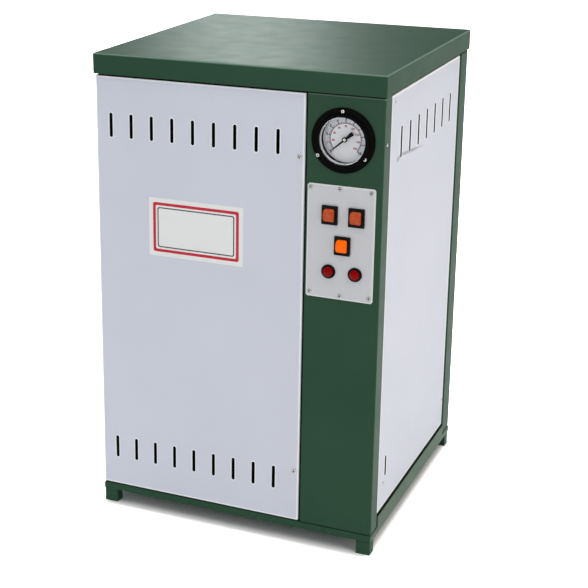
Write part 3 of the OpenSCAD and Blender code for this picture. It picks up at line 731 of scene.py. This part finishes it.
def facing(side, across, up, level):
    """Matrix that sets a flat-made part on a face: two places on the face and its level."""
    place = (across, level, up) if side in ("front", "rear") else (level, across, up)
    return Matrix.Translation(place) @ Matrix(FACE_AXES[side]).transposed().to_4x4()


def moved(part, matrix):
    """A part's points carried to their place."""
    points, faces = part
    return [matrix @ p for p in points], faces


def piece(name, parts, finish, body, smooth_deg=None):
    """One mesh object joined from (points, faces) parts, riding on a CAD body."""
    points, faces = [], []
    for part_points, part_faces in parts:
        start = len(points)
        points += [tuple(p) for p in part_points]
        faces += [tuple(start + i for i in face) for face in part_faces]
    mesh = bpy.data.meshes.new(name)
    mesh.from_pydata(points, [], faces)
    mesh.validate()
    made = put(name, mesh)
    mesh.materials.append(finish)
    if smooth_deg is not None:
        mesh.shade_smooth()
        mesh.set_sharp_from_angle(angle=radians(smooth_deg))
    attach(made, body)
    print(name, len(mesh.vertices), "points")
    return made


print("faces that can carry parts:", list(FACE_AXES))

# %% [markdown]
# Three kinds of shape come back: one turned on a lathe from a profile of radii and heights, one of
# closed rings of points, and a flat slab cut to an outline.


# %% Shape helpers
def on_circle(radius, angle):
    """The place at an angle on a circle round the origin."""
    return radius * cos(angle), radius * sin(angle)


def ring_points(radius_at, height, steps):
    """One ring of points; the radius may differ round the ring."""
    turns = [2 * pi * i / steps for i in range(steps)]
    return [Vector((*on_circle(radius_at(a), a), height)) for a in turns]


def scaled(profile, radius, height):
    """A profile's shares as radii and heights."""
    return [(r * radius, z * height) for r, z in profile]


def turned(profile, steps):
    """A shape turned on a lathe: the profile lists (radius, height) pairs."""
    points, faces, rings = [], [], []
    for radius, height in profile:
        count = steps if radius else 1
        rings.append(list(range(len(points), len(points) + count)))
        points += ring_points(lambda a: radius, height, steps)[:count]
    for low, high in zip(rings, rings[1:]):
        for i in range(steps):
            j = (i + 1) % steps
            if len(low) == 1:
                faces.append((low[0], high[j], high[i]))
            elif len(high) == 1:
                faces.append((low[i], low[j], high[0]))
            else:
                faces.append((low[i], low[j], high[j], high[i]))
    return points, faces


def closed_part(rings):
    """Rings of points joined one to the next, and the last to the first."""
    n, steps = len(rings), len(rings[0])
    faces = []
    for k in range(n):
        here, there = k * steps, (k + 1) % n * steps
        faces += [(here + i, here + (i + 1) % steps, there + (i + 1) % steps, there + i)
                  for i in range(steps)]
    return [p for ring in rings for p in ring], faces


def slab_part(outline, low, high):
    """A flat plate of that outline."""
    n = len(outline)
    points = [Vector((x, y, z)) for z in (low, high) for x, y in outline]
    faces = [tuple(reversed(range(n))), tuple(range(n, 2 * n))]
    faces += [(i, (i + 1) % n, n + (i + 1) % n, n + i) for i in range(n)]
    return points, faces


def ready_part(holder):
    """The points and faces of an object once its modifiers or its font have done their work."""
    mesh = holder.evaluated_get(bpy.context.evaluated_depsgraph_get()).to_mesh()
    return [v.co.copy() for v in mesh.vertices], [tuple(p.vertices) for p in mesh.polygons]


print("shape helpers ready")

# %% [markdown]
# ## Screws
# Cross-head screws hold the door, the panels and the plate. One head is made once: a low dome on a
# lathe, with a cross cut out by the Boolean modifier. Its points are then copied to every place,
# so all the screws of a panel are a single mesh. A dark slab of painted shade fills the bottom of
# the cross.

# %% One cross-head screw
DOME = ((0, 0), (1, 0), (1, 0.35), (0.93, 0.65), (0.75, 0.88), (0.4, 0.98), (0, 1))
HEAD_STEPS = 32
CROSS_REACH, CROSS_HALF, CROSS_MIDDLE, CROSS_HEIGHT = 0.75, 0.175, 1.05, 1.3
FILL_REACH, FILL_HALF, FILL_LOW, FILL_HIGH = 0.74, 0.17, 0.5, 0.82


def screw_head(radius, height):
    """A pan head with a cross recess, standing on its face, and the painted shade in the cross."""
    points, faces = turned(scaled(DOME, radius, height), HEAD_STEPS)
    head_mesh, cross_mesh = bpy.data.meshes.new("head"), bpy.data.meshes.new("cross")
    head_mesh.from_pydata([tuple(p) for p in points], [], faces)
    blades = bmesh.new()
    for x, y in ((CROSS_REACH, CROSS_HALF), (CROSS_HALF, CROSS_REACH)):
        size = Matrix.Diagonal((2 * radius * x, 2 * radius * y, CROSS_HEIGHT * height, 1))
        at = Matrix.Translation((0, 0, CROSS_MIDDLE * height))
        bmesh.ops.create_cube(blades, size=1.0, matrix=at @ size)
    blades.to_mesh(cross_mesh)
    blades.free()
    head, cross = put("head", head_mesh), put("cross", cross_mesh)
    cut = head.modifiers.new("cut", "BOOLEAN")
    cut.object = cross
    cut.operation = "DIFFERENCE"
    cut.solver = "EXACT"
    cut.use_self = True
    part = ready_part(head)
    for made in (head, cross):
        bpy.data.objects.remove(made)
    a, b = FILL_REACH * radius, FILL_HALF * radius
    outline = [(a, -b), (a, b), (b, b), (b, a), (-b, a), (-b, b),
               (-a, b), (-a, -b), (-b, -b), (-b, -a), (b, -a), (b, -b)]
    return part, slab_part(outline, FILL_LOW * height, FILL_HIGH * height)


panel_screw = screw_head(3.3 * MM, 1.9 * MM)
small_screw = screw_head(2.1 * MM, 1.4 * MM)
plate_screw = screw_head(3.0 * MM, 1.5 * MM)
print("screw head points:", len(panel_screw[0][0]))

# %% [markdown]
# The door is held by two screws at its right edge and the plate by six round its border. Every
# screw has a turn of its own, because no fitter stops all the crosses at the same angle.

# %% Set the door's and the plate's screws
FIRST_TURN_DEG, NEXT_TURN_DEG, HEAD_SMOOTH_DEG = 23, 67, 40


def screws(name, head, places, finish=screw_steel):
    """Screws as two pieces, heads and recesses: each place is (side, across, up, level)."""
    spots = []
    for i, place in enumerate(places):
        turn = Matrix.Rotation(radians(FIRST_TURN_DEG + NEXT_TURN_DEG * i), 4, "Z")
        spots.append(facing(*place) @ turn)
    heads, recesses = [[moved(part, spot) for spot in spots] for part in head]
    piece(name, heads, finish, "cabinet", HEAD_SMOOTH_DEG)
    # The recesses are dark slabs of painted shade
    piece(name + "_recesses", recesses, painted_recess_shade, "cabinet")


DOOR_SCREWS = ((0.0905, 0.5430), (0.0905, 0.1042))
PLATE_SCREWS_MM = ((107.3, 506.4), (146.4, 507.2), (188.2, 505.8),
                   (107.9, 366.2), (149.6, 364.8), (188.8, 366.6))
door_face, plate_face = door_low.y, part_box("control_plate")[0].y
screws("door_screws", panel_screw, [("front", x, z, door_face) for x, z in DOOR_SCREWS])
plate_places = [("front", x * MM, z * MM, plate_face) for x, z in PLATE_SCREWS_MM]
screws("plate_screws", plate_screw, plate_places, dull_steel)

# %% [markdown]
# The gauge's three screws sit on its flat rim, just outside the raised ring. They have a round
# socket in place of a cross, so the lathe makes the whole head, and a dark disc of painted shade
# lies in the socket.
# The side and rear panels have their screws near the corners, and one more holds the fascia's fold
# on the side.

# %% Gauge and panel screws
SOCKET_HEAD = ((0, 0), (1, 0), (1, 0.4), (0.82, 1), (0.52, 1), (0.52, 0.45), (0, 0.45))
# The socket's dark floor is painted shade
SOCKET_FLOOR = ((0, 0.45), (0.52, 0.45), (0.52, 0.6), (0, 0.6))
RIM_SCREWS = ((37.5, 91), (38.6, 213), (36.4, 325))
SIDE_SCREWS = ((-0.157, 0.6140), (-0.1486, 0.0837), (0.1462, 0.0905))
FASCIA_SCREW = (-0.1928, 0.5666)
REAR_INSET, REAR_HEIGHTS = 0.009, (0.0450, 0.3300, 0.6110)
FLANGE_T = 2.5 * MM

flange_low, flange_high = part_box("gauge_flange")
gauge_mid = (flange_low + flange_high) / 2
flange_face = flange_high.y - FLANGE_T
gauge_screw = [turned(scaled(profile, radius=2.4 * MM, height=1.4 * MM), HEAD_STEPS)
               for profile in (SOCKET_HEAD, SOCKET_FLOOR)]
rim_places = []
for rim_mm, angle_deg in RIM_SCREWS:
    x, z = on_circle(rim_mm * MM, radians(angle_deg))
    rim_places.append(("front", gauge_mid.x + x, gauge_mid.z + z, flange_face))
screws("gauge_screws", gauge_screw, rim_places)
side_levels = {"right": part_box("side_panel_right")[1].x, "left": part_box("side_panel_left")[0].x}
for side, level in side_levels.items():
    places = [(side, y, z, level) for y, z in SIDE_SCREWS]
    screws("side_panel_" + side + "_screws", small_screw, places, screw_white)
fascia_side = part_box("control_fascia")[1].x
screws("fascia_side_screw", small_screw, [("right", *FASCIA_SCREW, fascia_side)])
rear_columns = (rear_low.x + REAR_INSET, rear_high.x - REAR_INSET)
screws("rear_screws", panel_screw,
       [("rear", x, z, rear_high.y) for x in rear_columns for z in REAR_HEIGHTS])

# %% [markdown]
# ## The gauge's dial
# The dial is printed: a pale blue-grey band round the edge, a thin red arc inside it, black ticks
# and figures outside the arc and small red figures inside. A texture could show that, but thin
# raised ink keeps crisp edges close up and needs no picture. The scale starts low on the left and
# runs clockwise from 0 to 10. A black ring on the dial's rim, under the bright liner, is painted
# shade for the dark gap at the dial's edge.

# %% Dial inks and strips
INK = 0.06 * MM
SCALE_START_DEG, SCALE_SWEEP_DEG = 221.0, 262.0
black_ink = grained("black_ink", (0.006, 0.006, 0.007), (0.012, 0.012, 0.014), 0.5, 0.8, 0.01)
red_ink = grained("red_ink", (0.48, 0.16, 0.19), (0.54, 0.20, 0.23), 0.5, 0.8, 0.01)
arc_ink = grained("arc_red_ink", (0.30, 0.19, 0.22), (0.35, 0.22, 0.25), 0.5, 0.8, 0.01)
band_ink = grained("band_grey_ink", (0.66, 0.68, 0.73), (0.70, 0.72, 0.76), 0.5, 3.0, 0.01)
dial_low, dial_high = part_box("gauge_dial")
dial_r = (dial_high.x - dial_low.x) / 2
dial_place = facing("front", gauge_mid.x, gauge_mid.z, dial_low.y)


def ring_part(r_in, r_out, start_deg, sweep_deg, steps, thick):
    """A flat curved strip of ink between two radii."""
    points, faces = [], []
    for i in range(steps + 1):
        a = radians(start_deg - sweep_deg * i / steps)
        for r, z in ((r_in, 0.0), (r_out, 0.0), (r_out, thick), (r_in, thick)):
            points.append(Vector((*on_circle(r, a), z)))
    for i in range(steps):
        p, q = 4 * i, 4 * (i + 1)
        faces += [(p + k, p + (k + 1) % 4, q + (k + 1) % 4, q + k) for k in range(4)]
    if sweep_deg < 360:
        faces += [(3, 2, 1, 0), tuple(4 * steps + k for k in range(4))]
    return points, faces


def tick_part(angle_deg, r_in, r_out, width):
    """One radial tick of ink."""
    flat = [(r_in, -width / 2), (r_out, -width / 2), (r_out, width / 2), (r_in, width / 2)]
    return moved(slab_part(flat, 0.0, 2 * INK), Matrix.Rotation(radians(angle_deg), 4, "Z"))


def scale_deg(i, count):
    """The angle of one of the scale's marks, when count steps make the whole sweep."""
    return SCALE_START_DEG - SCALE_SWEEP_DEG * i / count


print("dial radius in mm:", round(dial_r / MM, 1))

# %% [markdown]
# Every fifth tick is long and bold and carries a figure. The red arc has fine ticks on its inner
# side. All of them follow from the scale's first angle and its sweep.

# %% Dial scale
ARC_R, ARC_INSIDE, ARC_OUTSIDE, ARC_STEPS = 20.9 * MM, 1.1 * MM, 0.15 * MM, 96
BAND_R, BAND_MORE_DEG = 28.4 * MM, 6
TICKS, BOLD_EVERY = 50, 5
BOLD_TICK, FINE_TICK = (2.5 * MM, 1.15 * MM), (1.5 * MM, 0.36 * MM)
RED_TICKS, RED_LENGTHS, RED_WIDTH = 29, (1.6 * MM, 1.0 * MM), 0.25 * MM
EDGE_SHADE_W, EDGE_SHADE_T = 0.9 * MM, 0.4 * MM


def print_on_dial(name, parts, ink):
    """A piece printed on the dial's face."""
    piece(name, [moved(part, dial_place) for part in parts], ink, "cabinet")


band = ring_part(ARC_R, BAND_R, SCALE_START_DEG + BAND_MORE_DEG,
                 SCALE_SWEEP_DEG + 2 * BAND_MORE_DEG, ARC_STEPS, INK)
arc = [ring_part(ARC_R - ARC_INSIDE, ARC_R + ARC_OUTSIDE, SCALE_START_DEG, SCALE_SWEEP_DEG,
                 ARC_STEPS, 2 * INK)]
ticks = []
for i in range(TICKS + 1):
    length, width = FINE_TICK if i % BOLD_EVERY else BOLD_TICK
    ticks.append(tick_part(scale_deg(i, TICKS), ARC_R, ARC_R + length, width))
for i in range(RED_TICKS):
    arc.append(tick_part(scale_deg(i, RED_TICKS), ARC_R - RED_LENGTHS[i % 2], ARC_R, RED_WIDTH))
print_on_dial("dial_band", [band], band_ink)
print_on_dial("dial_ticks", ticks, black_ink)
print_on_dial("dial_red_scale", arc, arc_ink)
# A black ring on the dial's rim: painted shade for the gap under the liner
edge_shade_ring = ring_part(dial_r - EDGE_SHADE_W, dial_r - HAIR, 0.0, 360.0, steps=120, thick=EDGE_SHADE_T)
print_on_dial("dial_edge_shade", [edge_shade_ring], painted_recess_shade)

# %% [markdown]
# Figures come from Blender's own font as text curves, turned into meshes and joined. Each stands
# upright, centred on its place round the scale.

# %% Dial figures
FIGURE_BOLD, FIGURE_ROUNDING = 0.065, 4


def figure_part(text, size, x, y):
    """A printed figure as a flat part centred on a place."""
    curve = bpy.data.curves.new("figure", "FONT")
    curve.body = text
    curve.size = size
    curve.align_x = curve.align_y = "CENTER"
    curve.offset = FIGURE_BOLD * size
    curve.resolution_u = FIGURE_ROUNDING
    holder = put("figure", curve)
    points, faces = ready_part(holder)
    bpy.data.objects.remove(holder)
    return [p + Vector((x, y, 2 * INK)) for p in points], faces


def round_scale(figures, radius, size):
    """Figures spaced evenly along the scale."""
    parts = []
    for i, figure in enumerate(figures):
        angle = radians(scale_deg(i, len(figures) - 1))
        parts.append(figure_part(str(figure), size, *on_circle(radius, angle)))
    return parts


black_figures = round_scale(range(11), radius=25.3 * MM, size=4.1 * MM)
red_figures = round_scale(range(0, 161, 20), radius=16.6 * MM, size=3.6 * MM)
print_on_dial("dial_figures", black_figures, black_ink)
print_on_dial("dial_red_figures", red_figures, red_ink)

# %% [markdown]
# ## The pointer's cap and counterweight
# A small brass cap holds the pointer on its spindle, and a flared plate on the tail balances it.
# Both turn with the pointer, so they ride on the pointer's body.

# %% Pointer cap and counterweight
CAP_MM = ((0, 0), (1.75, 0), (1.75, 0.35), (1.6, 0.55),
          (1.0, 0.6), (0.85, 0.4), (0.4, 0.4), (0, 0.55))
CAP_HOLE_MM = ((0, 0), (0.8, 0), (0.8, 0.5), (0, 0.57))
TAIL_HALF_WIDTHS_MM = ((2.2, 1.2), (11.0, 2.6), (14.6, 2.5))
TAIL_T = 0.3 * MM

cap_place = facing("front", gauge_mid.x, gauge_mid.z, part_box("gauge_pointer")[0].y)
cap = moved(turned(scaled(CAP_MM, MM, MM), steps=40), cap_place)
piece("pointer_cap", [cap], pale_brass, "pointer", HEAD_SMOOTH_DEG)
# The cap's hole is a dark dome of painted shade
cap_hole = moved(turned(scaled(CAP_HOLE_MM, MM, MM), steps=32), cap_place)
piece("pointer_cap_hole", [cap_hole], painted_recess_shade, "pointer", HEAD_SMOOTH_DEG)
tail_edge = scaled(TAIL_HALF_WIDTHS_MM, MM, MM)
tail_outline = [(x, -y) for x, y in tail_edge] + tail_edge[::-1]
tail_turn = Matrix.Rotation(radians(SCALE_START_DEG - 180.0), 4, "Z")
tail_plate = moved(slab_part(tail_outline, 0.0, TAIL_T), cap_place @ tail_turn)
piece("pointer_counterweight", [tail_plate], pointer_enamel, "pointer")

# %% [markdown]
# ## The door's label
# A thin off-white label is stuck on the door. Its face is left plain, with a red keyline and a fine
# black one inside it. A keyline is the space between two rounded outlines: both are listed at the
# ink's lower and upper level, and the four rings of points are joined.

# %% Label
LABEL_LEFT, LABEL_RIGHT, LABEL_LOW, LABEL_HIGH = -0.1241, 0.0133, 0.3853, 0.4664
LABEL_T, LABEL_CORNER, OUTER_CORNER, INNER_CORNER = 0.15 * MM, 1.0 * MM, 3.0 * MM, 2.0 * MM


def rounded_outline(w, h, r, steps=6):
    """Points of a rounded rectangle, counter-clockwise round its middle."""
    points = []
    right_x, left_x, high_y, low_y = w / 2 - r, r - w / 2, h / 2 - r, r - h / 2
    for cx, cy, start in ((right_x, high_y, 0), (left_x, high_y, 90),
                          (left_x, low_y, 180), (right_x, low_y, 270)):
        for i in range(steps + 1):
            x, y = on_circle(r, radians(start + 90 * i / steps))
            points.append((cx + x, cy + y))
    return points


label_w, label_h = LABEL_RIGHT - LABEL_LEFT, LABEL_HIGH - LABEL_LOW
label_place = facing(
    "front", (LABEL_LEFT + LABEL_RIGHT) / 2, (LABEL_LOW + LABEL_HIGH) / 2, door_face)
label_paper = grained(
    "label_vinyl", (0.86, 0.865, 0.86), (0.89, 0.895, 0.89), 0.4, 3.0, 0.01, shine=0.25)
label = slab_part(rounded_outline(label_w, label_h, LABEL_CORNER), 0.0, LABEL_T)
piece("door_label", [moved(label, label_place)], label_paper, "cabinet")
label_red = grained(
    "label_red", (0.52, 0.003, 0.018), (0.58, 0.006, 0.026), 0.4, 3.0, 0.01, shine=0.3)


def keyline(name, inset, width, ink):
    """A printed frame that follows the label's edge."""
    outer, inner = [rounded_outline(label_w - 2 * gap, label_h - 2 * gap, corner)
                    for gap, corner in ((inset, OUTER_CORNER), (inset + width, INNER_CORNER))]
    low, high = LABEL_T, LABEL_T + INK
    rings = [[Vector((x, y, z)) for x, y in outline]
             for outline, z in ((outer, low), (outer, high), (inner, high), (inner, low))]
    piece(name, [moved(closed_part(rings), label_place)], ink, "cabinet")


keyline("label_red_keyline", 6.0 * MM, 4.0 * MM, label_red)
keyline("label_black_keyline", 12.5 * MM, 1.6 * MM, black_ink)

# %% [markdown]
# ## The boiler's jacket
# Behind the slots such a machine is filled by its boiler. Without it the eye would pass in at one
# slot and out at another. Only its darkness is ever seen, so a plain block that stands on the base
# tray, with a little room all round, is enough; its near-black coat is painted shade.

# %% Boiler jacket
JACKET_LOW, JACKET_HIGH = Vector((-0.180, -0.174, 0.029)), Vector((0.180, 0.136, 0.604))
jacket_size, jacket_middle = JACKET_HIGH - JACKET_LOW, (JACKET_HIGH + JACKET_LOW) / 2
jacket_outline = rounded_outline(jacket_size.x, jacket_size.y, r=3.0 * MM)
jacket = moved(slab_part(jacket_outline, JACKET_LOW.z, JACKET_HIGH.z),
               Matrix.Translation((jacket_middle.x, jacket_middle.y, 0.0)))
# The jacket's near-black coat is painted shade
piece("boiler_jacket", [jacket], inner_shade_coat, "cabinet")

# %% [markdown]
# ## Pipe threads at the rear
# The CAD stubs are plain cylinders with sharp hexagons. A real pipe end carries a rolled thread,
# and a nut has its corners turned off. The thread is one sheet of points: round the pipe and up it,
# with the radius dipping once per pitch, and the dip climbs as it goes round, which makes a helix.
# Each stub, a pipe with a nut on both sides of the rear panel, takes the plain CAD stub's place.

# %% Threads and nuts
PITCH, THREAD_DEPTH, ROWS_PER_PITCH, END_CHAMFER = 1.814 * MM, 1.16 * MM, 8, 1.2 * MM
NUT_T, THREAD_L, TAIL_L, PIPE_WALL = 7.0 * MM, 19.8 * MM, 20.0 * MM, 3.0 * MM
NUT_LEVELS, NUT_TOP_SHARE, NUT_SLOPE = (0.0, 0.75, 0.84, 0.92, 1.0), 0.485, 1.7
PIPE_STEPS, NUT_STEPS = 48, 72


def pipe_part(outer):
    """A pipe with a rolled thread on its free end."""
    high, bore = NUT_T + THREAD_L, outer - PIPE_WALL
    rows = int(ROWS_PER_PITCH * THREAD_L / PITCH)

    def thread(a, z):
        dip = THREAD_DEPTH * (0.5 + 0.5 * cos(2 * pi * z / PITCH - a))
        return min(outer - dip, outer - END_CHAMFER + high - z)

    rings = [ring_points(lambda a: outer, z, PIPE_STEPS) for z in (-TAIL_L, NUT_T)]
    for z in (NUT_T + THREAD_L * i / rows for i in range(1, rows + 1)):
        rings.append(ring_points(lambda a: thread(a, z), z, PIPE_STEPS))
    rings += [ring_points(lambda a: bore, z, PIPE_STEPS) for z in (high, -TAIL_L)]
    return closed_part(rings)


def nut_part(flats, base, hole):
    """A hexagonal nut whose outer corners are turned off."""
    def corner(a, up):
        hexagon = flats / 2 / cos(a % (pi / 3) - pi / 6)
        return min(hexagon, NUT_TOP_SHARE * flats + NUT_SLOPE * (1 - up) * NUT_T)

    rings = [ring_points(lambda a: corner(a, up), base + up * NUT_T, NUT_STEPS)
             for up in NUT_LEVELS]
    rings += [ring_points(lambda a: hole, base + up * NUT_T, NUT_STEPS) for up in (1.0, 0.0)]
    return closed_part(rings)


FITTINGS_MM = (("steam_outlet", 20.96, 30.0), ("water_inlet", 26.44, 36.0),
               ("drain_outlet", 20.96, 30.0))
SHEET, NUT_BITE, PIPE_SMOOTH_DEG = 1.5 * MM, 0.1 * MM, 25
for node_name, thread_mm, flats_mm in FITTINGS_MM:
    low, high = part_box(node_name)
    place = facing("rear", (low.x + high.x) / 2, (low.z + high.z) / 2, rear_high.y)
    pipe_r = thread_mm / 2 * MM
    parts = [pipe_part(pipe_r)]
    parts += [nut_part(flats_mm * MM, base, pipe_r - NUT_BITE) for base in (0.0, -SHEET - NUT_T)]
    stub = piece(node_name + "_threaded", [moved(p, place) for p in parts],
                 turned_brass, "cabinet", PIPE_SMOOTH_DEG)
    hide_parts(node_name)
